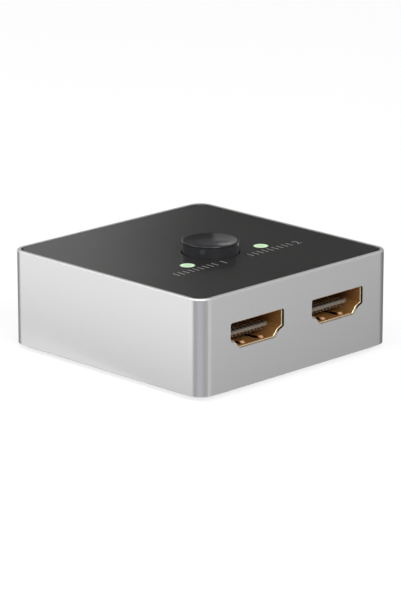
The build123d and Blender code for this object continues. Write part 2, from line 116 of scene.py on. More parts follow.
def between(tree, level, low, high, blur):
    """1 between the two levels, falling to 0 over the blur on both sides."""
    up = add_node(tree, "ShaderNodeMapRange",
                  {"Value": level, "From Min": low - blur, "From Max": low})
    down = add_node(tree, "ShaderNodeMapRange",
                    {"Value": level, "From Min": high, "From Max": high + blur})
    return add_node(tree, "ShaderNodeMath", {0: up.outputs[0], 1: down.outputs[0]},
                    operation="SUBTRACT").outputs[0]


CLOUD_GRAINS = 30  # width of a cloud in the finish, in grains
TINT_LEVELS = (0.12, 0.38)  # of grain times cloud, from the dark tone to the light one
ROUGH_LEVELS = (0.1, 0.4)


def grained(name, dark, light, grain_mm, roughness, rough_swing, bump_mm, **sockets):
    """A surface with fine grain in its colour, its roughness and its relief."""
    material, tree, place = new_material(name)
    grain = add_node(tree, "ShaderNodeTexNoise",
                     {"Vector": place, "Scale": per_metre(grain_mm), "Detail": 3.0,
                      "Roughness": 0.6})
    cloud = add_node(tree, "ShaderNodeTexNoise",
                     {"Vector": place, "Scale": per_metre(grain_mm * CLOUD_GRAINS),
                      "Detail": 2.0})
    clouded = add_node(tree, "ShaderNodeMath",
                       {0: grain.outputs["Fac"], 1: cloud.outputs["Fac"]}, operation="MULTIPLY")
    tint = add_node(tree, "ShaderNodeMapRange",
                    {"Value": clouded.outputs[0], "From Min": TINT_LEVELS[0],
                     "From Max": TINT_LEVELS[1]})
    colour = add_node(tree, "ShaderNodeMix",
                      {"Factor": tint.outputs[0], 6: hex_colour(dark), 7: hex_colour(light)},
                      data_type="RGBA")
    rough = add_node(tree, "ShaderNodeMapRange",
                     {"Value": clouded.outputs[0], "From Min": ROUGH_LEVELS[0],
                      "From Max": ROUGH_LEVELS[1], "To Min": roughness - rough_swing,
                      "To Max": roughness + rough_swing})
    relief = add_node(tree, "ShaderNodeBump",
                      {"Height": grain.outputs["Fac"], "Distance": bump_mm * MM,
                       "Strength": 1.0})
    shader = add_node(tree, "ShaderNodeBsdfPrincipled",
                      {"Base Color": colour.outputs[2], "Roughness": rough.outputs[0],
                       "Normal": relief.outputs[0], **sockets})
    add_node(tree, "ShaderNodeOutputMaterial", {"Surface": shader.outputs[0]})
    return material


RIM_HEIGHT = 0.32 * MM
CORNER_SPARE = 5.0 * MM  # on a rounded corner x and y together fall short by less than this
# top of the painted light on the sill below each mouth; above it the opening walls carry painted
# shade
SILL_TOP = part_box("front_left_insulator")[0][2] + 0.9 * MM
SILL_BLEND = 0.3 * MM
PIT_LEVELS = (0.3, 0.7)  # of the noise, from the dark tone to the light one


def satin_frame():
    """Fine-blasted, clear anodised aluminium: an even silver grey that mirrors
    its surroundings softly. The blasting pits are 0.05 mm; they are drawn at
    0.5 mm. The chamfered rim is milled after the blasting, so it is paler.
    The inside and the upright walls of the socket openings are dull and painted dark with painted
    shade, and the sill below each mouth is dull and painted pale with painted light."""
    material, tree, place = new_material("fine-blasted_anodised_aluminium")
    split = add_node(tree, "ShaderNodeSeparateXYZ", {0: place})
    grain = add_node(tree, "ShaderNodeTexNoise",
                     {"Vector": place, "Scale": per_metre(0.5), "Detail": 1.0,
                      "Roughness": 0.5})
    tint = add_node(tree, "ShaderNodeMapRange",
                    {"Value": grain.outputs["Fac"], "From Min": PIT_LEVELS[0],
                     "From Max": PIT_LEVELS[1]})
    blasted = add_node(tree, "ShaderNodeMix",
                       {"Factor": tint.outputs[0], 6: hex_colour("#D4D4D5"),
                        7: hex_colour("#D6D6D7")}, data_type="RGBA")
    rim_start = BODY_TOP - RIM_HEIGHT
    rim = add_node(tree, "ShaderNodeMapRange",
                   {"Value": split.outputs[2], "From Min": rim_start,
                    "From Max": rim_start + EDGE_BLUR}).outputs[0]
    sides = [add_node(tree, "ShaderNodeMath", {0: split.outputs[axis]}, operation="ABSOLUTE")
             for axis in (0, 1)]
    reach = add_node(tree, "ShaderNodeMath", {0: sides[0].outputs[0], 1: sides[1].outputs[0]},
                     operation="MAXIMUM")
    face_start = BODY_FRONT - SKIN
    outside = add_node(tree, "ShaderNodeMapRange",
                       {"Value": reach.outputs[0], "From Min": face_start,
                        "From Max": face_start + EDGE_BLUR}).outputs[0]
    outside = add_node(tree, "ShaderNodeMath", {0: outside, 1: rim},
                       operation="MAXIMUM").outputs[0]
    diagonal = add_node(tree, "ShaderNodeMath",
                        {0: sides[0].outputs[0], 1: sides[1].outputs[0]}, operation="ADD")
    corner_start = 2 * BODY_FRONT - CORNER_SPARE
    corner = add_node(tree, "ShaderNodeMapRange",
                      {"Value": diagonal.outputs[0], "From Min": corner_start,
                       "From Max": corner_start + EDGE_BLUR}).outputs[0]
    outside = add_node(tree, "ShaderNodeMath", {0: outside, 1: corner},
                       operation="MAXIMUM").outputs[0]
    # Painted light and shade: the sill below each mouth is drawn pale, the walls above it and the
    # inside are drawn dark
    sill_light = add_node(tree, "ShaderNodeMapRange",
                    {"Value": split.outputs[2], "From Min": SILL_TOP,
                     "From Max": SILL_TOP - SILL_BLEND})
    wall_shade_and_sill_light = add_node(tree, "ShaderNodeMix",
                     {"Factor": sill_light.outputs[0], 6: hex_colour("#2E2824"),
                      7: hex_colour("#A8A6A2")}, data_type="RGBA")
    colour = add_node(tree, "ShaderNodeMix",
                      {"Factor": outside, 6: wall_shade_and_sill_light.outputs[2], 7: blasted.outputs[2]},
                      data_type="RGBA")
    colour = add_node(tree, "ShaderNodeMix",
                      {"Factor": rim, 6: colour.outputs[2], 7: hex_colour("#DEDEDD")},
                      data_type="RGBA")
    metal = add_node(tree, "ShaderNodeMix", {"Factor": outside, 2: 0.3, 3: 1.0})
    rough = add_node(tree, "ShaderNodeMapRange",
                     {"Value": tint.outputs[0], "To Min": 0.276, "To Max": 0.284})
    rough = add_node(tree, "ShaderNodeMix", {"Factor": outside, 2: 0.5, 3: rough.outputs[0]})
    rough = add_node(tree, "ShaderNodeMix", {"Factor": rim, 2: rough.outputs[0], 3: 0.5})
    relief = add_node(tree, "ShaderNodeBump",
                      {"Height": grain.outputs["Fac"], "Distance": 0.00003 * MM})
    shader = add_node(tree, "ShaderNodeBsdfPrincipled",
                      {"Base Color": colour.outputs[2], "Metallic": metal.outputs[0],
                       "Roughness": rough.outputs[0], "Normal": relief.outputs[0]})
    add_node(tree, "ShaderNodeOutputMaterial", {"Surface": shader.outputs[0]})
    return material


BUTTON_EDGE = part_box("button_cap")[1][2] - 0.35 * MM
BUTTON_BLEND = 0.1 * MM


def polished_button():
    """Injection-moulded ABS from a polished tool: clear dark reflections, and a side that fingers
    have dulled a little and that is drawn a shade lighter as a painted sheen. Its flow marks are
    too fine to show and are drawn at 0.4 mm."""
    material, tree, place = new_material("polished_black_abs")
    height = add_node(tree, "ShaderNodeSeparateXYZ", {0: place}).outputs[2]
    flow = add_node(tree, "ShaderNodeTexNoise",
                    {"Vector": place, "Scale": per_metre(0.4), "Detail": 3.0})
    colour = add_node(tree, "ShaderNodeMix",
                      {"Factor": flow.outputs["Fac"], 6: hex_colour("#1A1A1C"),
                       7: hex_colour("#1F1F21")}, data_type="RGBA")
    # painted sheen: the side below the edge is drawn a shade lighter than the top
    side = add_node(tree, "ShaderNodeMapRange",
                    {"Value": height, "From Min": BUTTON_EDGE,
                     "From Max": BUTTON_EDGE - BUTTON_BLEND}).outputs[0]
    colour = add_node(tree, "ShaderNodeMix",
                      {"Factor": side, 6: colour.outputs[2], 7: hex_colour("#2B2B2E")},
                      data_type="RGBA")
    rough = add_node(tree, "ShaderNodeMix", {"Factor": side, 2: 0.11, 3: 0.16})
    shader = add_node(tree, "ShaderNodeBsdfPrincipled",
                      {"Base Color": colour.outputs[2], "Roughness": rough.outputs[0],
                       "IOR": 1.54})
    add_node(tree, "ShaderNodeOutputMaterial", {"Surface": shader.outputs[0]})
    return material


# painted highlight: the pale line along the mouth's edge reaches this deep
LIP_DEPTH = 0.16 * MM
LIP_BLUR = 0.04 * MM
FLOOR_FADE = 0.5 * MM  # the painted highlights and shade at the fingers fade in over this, down from the contacts' top
FINGER_SIDE = 2.6 * MM  # from a socket's middle to the middle of a spring finger
FINGER_BENDS = ((0.95 * MM, 1.4 * MM), (4.7 * MM, 5.6 * MM))  # depths behind the mouth of the painted highlights on the bends
BEND_HALF_WIDTH = 0.35 * MM
BEND_BLUR = 0.15 * MM
SLIT_NEAR = 0.5 * MM  # from a finger's middle to the painted shade beside it
SLIT_FAR = 1.15 * MM
SLIT_DEPTH = (1.6 * MM, 5.2 * MM)
SLIT_BLUR = 0.05 * MM
RUN_BLUR = 0.2 * MM


def gold_shell(name, centre):
    """Gold flashed on stamped bronze: satin red-brown sheet that scatters light, with a painted
    highlight as a pale line along the mouth's edge and painted highlights in bright copper where
    the spring fingers are bent. The slits beside the fingers carry painted shade, dark, and are
    drawn wider than they are cut, so that they show.
    The rolling marks are too fine to show and are drawn at 0.5 mm."""
    material, tree, place = new_material(name)
    split = add_node(tree, "ShaderNodeSeparateXYZ", {0: place})
    sideways = add_node(tree, "ShaderNodeMath", {0: split.outputs[0]}, operation="ABSOLUTE")
    sideways = add_node(tree, "ShaderNodeMath", {0: sideways.outputs[0], 1: centre},
                        operation="SUBTRACT")
    sideways = add_node(tree, "ShaderNodeMath", {0: sideways.outputs[0]},
                        operation="ABSOLUTE").outputs[0]
    outward = add_node(tree, "ShaderNodeMath", {0: split.outputs[1]},
                       operation="ABSOLUTE").outputs[0]
    # painted highlight along the mouth's edge
    lip_start = MOUTH - LIP_DEPTH
    lip_highlight = add_node(tree, "ShaderNodeMapRange",
                   {"Value": outward, "From Min": lip_start,
                    "From Max": lip_start + LIP_BLUR}).outputs[0]
    rolling = add_node(tree, "ShaderNodeTexNoise",
                       {"Vector": place, "Scale": per_metre(0.5), "Detail": 3.0})
    sheet = add_node(tree, "ShaderNodeMix",
                     {"Factor": rolling.outputs["Fac"], 6: hex_colour("#AC7B44"),
                      7: hex_colour("#BF8E58")}, data_type="RGBA")
    floor_side = add_node(tree, "ShaderNodeMapRange",
                          {"Value": split.outputs[2], "From Min": CONTACT_TOP,
                           "From Max": CONTACT_TOP - FLOOR_FADE}).outputs[0]
    # painted highlights on the spring fingers' bends
    bend_highlights = [between(tree, outward, MOUTH - deep, MOUTH - shallow, BEND_BLUR)
             for shallow, deep in FINGER_BENDS]
    bend_highlight = add_node(tree, "ShaderNodeMath", {0: bend_highlights[0], 1: bend_highlights[1]}, operation="ADD")
    finger = between(tree, sideways, FINGER_SIDE - BEND_HALF_WIDTH,
                     FINGER_SIDE + BEND_HALF_WIDTH, RUN_BLUR)
    # painted shade in the slits beside the fingers
    wide = between(tree, sideways, FINGER_SIDE - SLIT_FAR, FINGER_SIDE + SLIT_FAR, SLIT_BLUR)
    inner = between(tree, sideways, FINGER_SIDE - SLIT_NEAR, FINGER_SIDE + SLIT_NEAR, SLIT_BLUR)
    slit_shade = add_node(tree, "ShaderNodeMath", {0: wide, 1: inner}, operation="SUBTRACT")
    run = between(tree, outward, MOUTH - SLIT_DEPTH[1], MOUTH - SLIT_DEPTH[0], RUN_BLUR)
    masks = []
    for across, depth in ((bend_highlight, finger), (slit_shade, run)):
        mask = add_node(tree, "ShaderNodeMath", {0: across.outputs[0], 1: depth},
                        operation="MULTIPLY")
        mask = add_node(tree, "ShaderNodeMath", {0: mask.outputs[0], 1: floor_side},
                        operation="MULTIPLY")
        masks.append(mask.outputs[0])
    bend_highlight, slit_shade = masks
    # painted shade in the slits, painted highlights on the bends and along the mouth's edge
    colour = sheet
    for share, tone in ((slit_shade, "#2A1808"), (bend_highlight, "#E8B48E"), (lip_highlight, "#F2DDB2")):
        colour = add_node(tree, "ShaderNodeMix",
                          {"Factor": share, 6: colour.outputs[2], 7: hex_colour(tone)},
                          data_type="RGBA")
    metal = add_node(tree, "ShaderNodeMix", {"Factor": lip_highlight, 2: 0.6, 3: 0.85})
    metal = add_node(tree, "ShaderNodeMix", {"Factor": bend_highlight, 2: metal.outputs[0], 3: 0.2})
    rough = add_node(tree, "ShaderNodeMix", {"Factor": lip_highlight, 2: 0.42, 3: 0.5})
    relief = add_node(tree, "ShaderNodeBump",
                      {"Height": rolling.outputs["Fac"], "Distance": 0.002 * MM})
    shader = add_node(tree, "ShaderNodeBsdfPrincipled",
                      {"Base Color": colour.outputs[2], "Metallic": metal.outputs[0],
                       "Roughness": rough.outputs[0], "Normal": relief.outputs[0]})
    add_node(tree, "ShaderNodeOutputMaterial", {"Surface": shader.outputs[0]})
    return material


SLOT_START = CONTACT_FRONT - 0.75 * MM  # painted shade in the slots ahead of the upper contacts runs from here to the tongue's front, where the tongue is painted pale
SLOT_BLUR = 0.1 * MM


def moulded_tongue():
    """Glass-filled liquid crystal polymer, grey-brown and silky, with painted light and shade:
    painted pale near the tongue's front and on its front face, and painted dark as shade between
    the contacts further in. Its mottle is too fine to show and is drawn at 0.3 mm."""
    material, tree, place = new_material("glass_filled_polymer")
    split = add_node(tree, "ShaderNodeSeparateXYZ", {0: place})
    outward = add_node(tree, "ShaderNodeMath", {0: split.outputs[1]}, operation="ABSOLUTE")
    flow = add_node(tree, "ShaderNodeTexNoise",
                    {"Vector": place, "Scale": per_metre(0.3), "Detail": 3.0})
    colour = add_node(tree, "ShaderNodeMix",
                      {"Factor": flow.outputs["Fac"], 6: hex_colour("#2A2420"),
                       7: hex_colour("#342D28")}, data_type="RGBA")
    # painted light: pale near the tongue's front, then on its front face
    for start, blur, tone in ((SLOT_START, SLOT_BLUR, "#7C746C"),
                              (TONGUE_FRONT - SKIN, EDGE_BLUR, "#6D6559")):
        share = add_node(tree, "ShaderNodeMapRange",
                         {"Value": outward.outputs[0], "From Min": start,
                          "From Max": start + blur})
        colour = add_node(tree, "ShaderNodeMix",
                          {"Factor": share.outputs[0], 6: colour.outputs[2],
                           7: hex_colour(tone)}, data_type="RGBA")
    rough = add_node(tree, "ShaderNodeMapRange",
                     {"Value": flow.outputs["Fac"], "To Min": 0.43, "To Max": 0.53})
    relief = add_node(tree, "ShaderNodeBump",
                      {"Height": flow.outputs["Fac"], "Distance": 0.002 * MM})
    shader = add_node(tree, "ShaderNodeBsdfPrincipled",
                      {"Base Color": colour.outputs[2], "Roughness": rough.outputs[0],
                       "IOR": 1.6, "Normal": relief.outputs[0]})
    add_node(tree, "ShaderNodeOutputMaterial", {"Surface": shader.outputs[0]})
    return material


UPPER_START = CONTACT_TOP - 0.6 * MM  # the upper contacts lie above this, the lower ones below
STRIP_BLUR = 0.1 * MM
# the painted shade on the lower strips' ends reaches this far in from their front
STRIP_END = 0.06 * MM


def flashed_contact():
    """Gold flashed bronze strip. The upper strips' fronts in their slots carry painted shade,
    near black, and the lower strips' ends carry painted shade below the tongue. The rolling marks
    are too fine to show and are drawn at 0.3 mm."""
    material, tree, place = new_material("gold_flashed_contact")
    split = add_node(tree, "ShaderNodeSeparateXYZ", {0: place})
    outward = add_node(tree, "ShaderNodeMath", {0: split.outputs[1]}, operation="ABSOLUTE")
    rolling = add_node(tree, "ShaderNodeTexNoise",
                       {"Vector": place, "Scale": per_metre(0.3), "Detail": 3.0})
    colour = add_node(tree, "ShaderNodeMix",
                      {"Factor": rolling.outputs["Fac"], 6: hex_colour("#CCA474"),
                       7: hex_colour("#E4C094")}, data_type="RGBA")
    # painted shade: near black on the upper strips' fronts, dark brown on the lower strips' ends
    painted_shade_shares = []
    for rise, start, blur, tone in ((STRIP_BLUR, SLOT_START, SLOT_BLUR, "#302B27"),
                                    (-STRIP_BLUR, CONTACT_FRONT - STRIP_END, EDGE_BLUR,
                                     "#4A3826")):
        row = add_node(tree, "ShaderNodeMapRange",
                       {"Value": split.outputs[2], "From Min": UPPER_START,
                        "From Max": UPPER_START + rise})
        end = add_node(tree, "ShaderNodeMapRange",
                       {"Value": outward.outputs[0], "From Min": start,
                        "From Max": start + blur})
        share = add_node(tree, "ShaderNodeMath", {0: row.outputs[0], 1: end.outputs[0]},
                         operation="MULTIPLY").outputs[0]
        colour = add_node(tree, "ShaderNodeMix",
                          {"Factor": share, 6: colour.outputs[2], 7: hex_colour(tone)},
                          data_type="RGBA")
        painted_shade_shares.append(share)
    painted_shade = add_node(tree, "ShaderNodeMath", {0: painted_shade_shares[0], 1: painted_shade_shares[1]}, operation="ADD")
    metal = add_node(tree, "ShaderNodeMix", {"Factor": painted_shade.outputs[0], 2: 0.7, 3: 0.0})
    rough = add_node(tree, "ShaderNodeMapRange",
                     {"Value": rolling.outputs["Fac"], "To Min": 0.31, "To Max": 0.39})
    shader = add_node(tree, "ShaderNodeBsdfPrincipled",
                      {"Base Color": colour.outputs[2], "Metallic": metal.outputs[0],
                       "Roughness": rough.outputs[0]})
    add_node(tree, "ShaderNodeOutputMaterial", {"Surface": shader.outputs[0]})
    return material


def lit_window():
    """Diffusing acrylic, lit from below: pale green, brightest in a ring near
    its dark rim. Its speckle is too fine to show and is drawn at 0.3 mm."""
    material, tree, place = new_material("lit_diffusing_acrylic")
    split = add_node(tree, "ShaderNodeSeparateXYZ", {0: place})
    side = add_node(tree, "ShaderNodeMath", {0: split.outputs[0]}, operation="ABSOLUTE")
    across = add_node(tree, "ShaderNodeMath", {0: side.outputs[0], 1: WINDOW_X},
                      operation="SUBTRACT")
    along = add_node(tree, "ShaderNodeMath", {0: split.outputs[1], 1: WINDOW_Y},
                     operation="SUBTRACT")
    offset = add_node(tree, "ShaderNodeCombineXYZ", {0: across.outputs[0], 1: along.outputs[0]})
    distance = add_node(tree, "ShaderNodeVectorMath", {0: offset.outputs[0]}, operation="LENGTH")
    share = add_node(tree, "ShaderNodeMath", {0: distance.outputs["Value"], 1: WINDOW_RADIUS},
                     operation="DIVIDE")
    glow = add_node(tree, "ShaderNodeValToRGB", {0: share.outputs[0]})
    ramp = glow.color_ramp
    ramp.elements[0].position, ramp.elements[0].color = 0.0, hex_colour("#BCDFB2")
    ramp.elements[1].position, ramp.elements[1].color = 0.96, hex_colour("#2F5A2C")
    for stop, colour in ((0.5, "#C4E6BA"), (0.78, "#F4FBF0"), (0.88, "#94BE8C")):
        ramp.elements.new(stop).color = hex_colour(colour)
    speckle = add_node(tree, "ShaderNodeTexNoise", {"Vector": place, "Scale": per_metre(0.3)})
    rough = add_node(tree, "ShaderNodeMapRange",
                     {"Value": speckle.outputs["Fac"], "To Min": 0.25, "To Max": 0.4})
    shader = add_node(tree, "ShaderNodeBsdfPrincipled",
                      {"Base Color": hex_colour("#2C4628"), "Roughness": rough.outputs[0],
                       "IOR": 1.49, "Emission Color": glow.outputs["Color"],
                       "Emission Strength": 0.92})
    add_node(tree, "ShaderNodeOutputMaterial", {"Surface": shader.outputs[0]})
    return material


anodised_aluminium = satin_frame()
polished_abs = polished_button()
gold_plate = gold_shell("gold_plated_bronze", SOCKET_X)
rear_gold_plate = gold_shell("gold_plated_bronze_rear", 0.0)
filled_polymer = moulded_tongue()
contact_gold = flashed_contact()
lit_acrylic = lit_window()

# Plain finishes: dark and light tone, width of grain in mm, roughness and its
# swing, depth of relief in mm. A grain finer than the width given would not
# show, and is drawn as wide as that.

# Cast acrylic sheet, printed black from behind: near black with a calm gloss
black_acrylic = grained("black_cast_acrylic", "#212120", "#242423",
                        0.6, 0.2, 0.01, 0.0001, **{"IOR": 1.49})
# Spark-textured ABS of the cover: fine even matt grain of 0.2 mm
textured_abs = grained("spark_textured_black_abs", "#1A1A1A", "#242424",
                       0.22, 0.55, 0.06, 0.010, **{"IOR": 1.54})
# Moulded silicone rubber of the feet: near black, with no shine
silicone_rubber = grained("moulded_rubber", "#141414", "#1F1F1F",
                          0.3, 0.72, 0.05, 0.006, **{"IOR": 1.5})
# Zinc plated steel of the screws: cool grey with a soft, cloudy shine
zinc_steel = grained("zinc_plated_steel", "#8E9196", "#A6A9AE",
                     0.2, 0.34, 0.06, 0.002, **{"Metallic": 1.0})
# Drawn spring wire: darker and smoother than the zinc
spring_wire = grained("drawn_spring_wire", "#8A8C90", "#9B9DA2",
                      0.1, 0.3, 0.05, 0.001, **{"Metallic": 1.0})
# Tinned bronze of the switch's pins: pale, even and softly shining
tinned_bronze = grained("tinned_bronze", "#B3B5B8", "#C4C6C9",
                        0.15, 0.36, 0.06, 0.001, **{"Metallic": 1.0})
# Moulded nylon of the plunger, left in its own colour: milky, with a waxy look
natural_nylon = grained("moulded_natural_nylon", "#D9D6CC", "#E4E1D8",
                        0.4, 0.45, 0.05, 0.002, **{"IOR": 1.53})
# Moulded PBT of the switch's housing and base: black and half matt
moulded_pbt = grained("moulded_black_pbt", "#1B1B1C", "#232324",
                      0.3, 0.42, 0.05, 0.003, **{"IOR": 1.57})
# Lacquered solder mask of the board: black with a low gloss
solder_mask = grained("black_solder_mask", "#121311", "#1A1B18",
                      0.5, 0.28, 0.05, 0.002, **{"IOR": 1.5})
# Moulded epoxy of the chips: charcoal, fine-grained and matt
chip_epoxy = grained("moulded_epoxy", "#232426", "#2C2D30",
                     0.15, 0.6, 0.05, 0.002, **{"IOR": 1.55})
# Fired ceramic of the capacitors: sandy brown, like bare stoneware
fired_ceramic = grained("fired_capacitor_ceramic", "#8A6A4A", "#A07F5C",
                        0.2, 0.5, 0.05, 0.002, **{"IOR": 1.6})
# Glaze of the resistors: black and glassy
resistor_glaze = grained("black_resistor_glaze", "#17181B", "#232428",
                         0.2, 0.3, 0.05, 0.001, **{"IOR": 1.5})
# Foam tape below the panel: black, and too open to shine
foam_tape = grained("black_foam_tape", "#1E1E1E", "#2A2A2A",
                    0.15, 0.85, 0.05, 0.01, **{"IOR": 1.45})
# Clear resin of the lamps: pale straw and glossy
lamp_resin = grained("clear_lamp_resin", "#D6DCB8", "#E6EBCB",
                     0.4, 0.2, 0.04, 0.001, **{"IOR": 1.5})
# Screen-printed ink: flat mid grey, a little chalky
printed_ink = grained("screen_printed_grey_ink", "#7C7C7A", "#8C8C8A",
                      0.3, 0.5, 0.05, 0.001, **{"IOR": 1.5})

finishes = {
    "body_frame": anodised_aluminium,
    "top_panel": black_acrylic,
    "panel_tape": foam_tape,
    "button_cap": polished_abs,
    "switch_plunger": natural_nylon,
    "switch_spring": spring_wire,
    "switch_housing": moulded_pbt,
    "switch_base": moulded_pbt,
    "switch_pins": tinned_bronze,
    "light_guide_left": lit_acrylic,
    "light_guide_right": lit_acrylic,
    "status_lamps": lamp_resin,
    "circuit_board": solder_mask,
    "switch_chip": chip_epoxy,
    "surge_arrays": chip_epoxy,
    "capacitors": fired_ceramic,
    "resistors": resistor_glaze,
    "board_screws": zinc_steel,
    "cover_screws": zinc_steel,
    "bottom_cover": textured_abs,
    "rubber_feet": silicone_rubber,
}
for socket, plate in (("front_left", gold_plate), ("front_right", gold_plate),
                      ("rear", rear_gold_plate)):
    finishes[f"{socket}_shell"] = plate
    finishes[f"{socket}_insulator"] = filled_polymer
    finishes[f"{socket}_contacts"] = contact_gold
for name, material in finishes.items():
    for slot in nodes[name].material_slots:
        slot.material = material

PRINT_THICKNESS = 0.02 * MM
MARK_Y = (-11.4 * MM, -9.4 * MM)
MARK_X = {"1": (-17.3 * MM, -3.7 * MM), "2": (3.8 * MM, 18.2 * MM)}
TICKS = 9
TICK_WIDTH = 0.26 * MM


def printed_mark(numeral, left, right):
    """Printed mark beside a window: a plain numeral after a row of ticks."""
    name = "printed_mark_" + numeral
    curve = bpy.data.curves.new(name, "FONT")
    curve.body = numeral
    text = bpy.data.objects.new(name, curve)
    bpy.context.scene.collection.objects.link(text)
    bpy.context.view_layer.update()
    figure = bpy.data.meshes.new_from_object(text)
    bpy.data.objects.remove(text)
    shape = bmesh.new()
    shape.from_mesh(figure)
    bpy.data.meshes.remove(figure)
    low, high = (pick(v.co.y for v in shape.verts) for pick in (min, max))
    figure_right = max(v.co.x for v in shape.verts)
    height = MARK_Y[1] - MARK_Y[0]
    size = height / (high - low)
    bmesh.ops.translate(shape, verts=shape.verts, vec=(-figure_right, -low, 0))
    bmesh.ops.scale(shape, verts=shape.verts, vec=(size, size, 1))
    bmesh.ops.translate(shape, verts=shape.verts, vec=(right, MARK_Y[0], 0))
    pitch = (right - left) / (TICKS + 1)
    for number in range(TICKS):
        tick = bmesh.ops.create_grid(shape, x_segments=1, y_segments=1, size=0.5)["verts"]
        bmesh.ops.scale(shape, verts=tick, vec=(TICK_WIDTH, height, 1))
        bmesh.ops.translate(shape, verts=tick, vec=(left + TICK_WIDTH / 2 + number * pitch,
                                                    MARK_Y[0] + height / 2, 0))
    bmesh.ops.translate(shape, verts=shape.verts, vec=(0, 0, PANEL_TOP + PRINT_THICKNESS))
    mark = new_piece(name, shape, printed_ink)
    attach(mark, "housing")


for numeral, ends in MARK_X.items():
    printed_mark(numeral, *ends)

CONTACT_STAND = 0.12 * MM  # the upper contacts stand this far above the tongue
TONGUE_EDGE = 0.6 * MM
TOOTH_TOP = CONTACT_TOP - CONTACT_STAND - TONGUE_EDGE
TOOTH_SIZE = (0.56 * MM, 0.6 * MM, 0.19 * MM)
TOOTH_PITCH = 1.0 * MM
TOOTH_ROUND = 0.04 * MM
TEETH = 10


def tongue_comb(name, centre, facing):
    """Teeth in a row along the lower edge of one tongue's front. The slots
    between them hold the lower contacts."""
    shape = bmesh.new()
    for number in range(TEETH):
        tooth = bmesh.ops.create_cube(shape, size=1.0)["verts"]
        bmesh.ops.scale(shape, verts=tooth, vec=TOOTH_SIZE)
        bmesh.ops.translate(shape, verts=tooth, vec=(
            centre + (number - (TEETH - 1) / 2) * TOOTH_PITCH,
            facing * (TONGUE_FRONT - TOOTH_SIZE[1] / 2), TOOTH_TOP - TOOTH_SIZE[2] / 2))
    bmesh.ops.bevel(shape, geom=shape.edges[:], offset=TOOTH_ROUND, segments=2, profile=0.5,
                    affect="EDGES", material=-1)
    comb = new_piece(name, shape, filled_polymer)
    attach(comb, "housing")


tongue_comb("front_left_comb", -SOCKET_X, -1)
tongue_comb("front_right_comb", SOCKET_X, -1)
tongue_comb("rear_comb", 0.0, 1)

SPRING_WIRE = 0.25 * MM
WIRE_SIDES = 12
SPRING_TURNS = 3
TURN_STEPS = 24


def coil_spring():
    """The switch's coil spring, wound again here. It stands on the base."""
    low, high = (Vector(corner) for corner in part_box("switch_spring"))
    middle = (low + high) / 2
    radius = (high.x - low.x - SPRING_WIRE) / 2
    shape = bmesh.new()
    ring = bmesh.ops.create_circle(shape, segments=WIRE_SIDES, radius=SPRING_WIRE / 2)["verts"]
    wire_start = Matrix.Translation((middle.x + radius, middle.y, low.z + SPRING_WIRE / 2))
    bmesh.ops.transform(shape, verts=ring,
                        matrix=wire_start @ Matrix.Rotation(math.radians(90), 4, "X"))
    steps = SPRING_TURNS * TURN_STEPS
    rise = (high.z - low.z - SPRING_WIRE) / steps
    bmesh.ops.spin(shape, geom=shape.verts[:] + shape.edges[:], cent=middle, axis=(0, 0, 1),
                   dvec=(0, 0, rise), angle=math.radians(360 * SPRING_TURNS), steps=steps)
    bmesh.ops.edgeloop_fill(shape, edges=[edge for edge in shape.edges if edge.is_boundary])
    bmesh.ops.recalc_face_normals(shape, faces=shape.faces)
    for face in shape.faces:
        face.smooth = len(face.verts) == 4
    coil = new_piece("coil_spring", shape, spring_wire)
    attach(coil, "housing")
    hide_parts("switch_spring")
    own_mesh(coil)


coil_spring()

# Camera: 662.5 mm from the box, 16.2 degrees up, facing the near upright edge
CAMERA_AIM = Vector((0, 0, 9.77)) * MM
CAMERA_PLACE = Vector((-449.95, -449.95, 194.19)) * MM
CAMERA_BEARING = 225
camera_data = bpy.data.cameras.new("camera")
camera_data.lens = 193.13
camera_data.sensor_width = 36
camera_data.clip_start = 0.01
camera = bpy.data.objects.new("camera", camera_data)
camera.location = CAMERA_PLACE
camera.rotation_euler = (CAMERA_AIM - CAMERA_PLACE).to_track_quat("-Z", "Y").to_euler()
bpy.context.scene.collection.objects.link(camera)
bpy.context.scene.camera = camera

# Studio: white floor, dark flag behind on the right, cards of light that only
# the metal mirrors, soft lamps
bpy.context.scene.view_settings.view_transform = "Standard"
FLOOR_SIZE = (8, 8)
FLOOR_GLOW = 0.8  # share of its own light in what the eye sees of the floor


def flat_piece(name, size, place, turn, material):
    """A flat rectangle that belongs to the studio."""
    shape = bmesh.new()
    bmesh.ops.create_grid(shape, x_segments=1, y_segments=1, size=0.5)
    bmesh.ops.transform(shape, verts=shape.verts, matrix=Matrix.Translation(place)
                        @ turn @ Matrix.Diagonal((*size, 1, 1)))
    piece = new_piece(name, shape, material)
    return piece


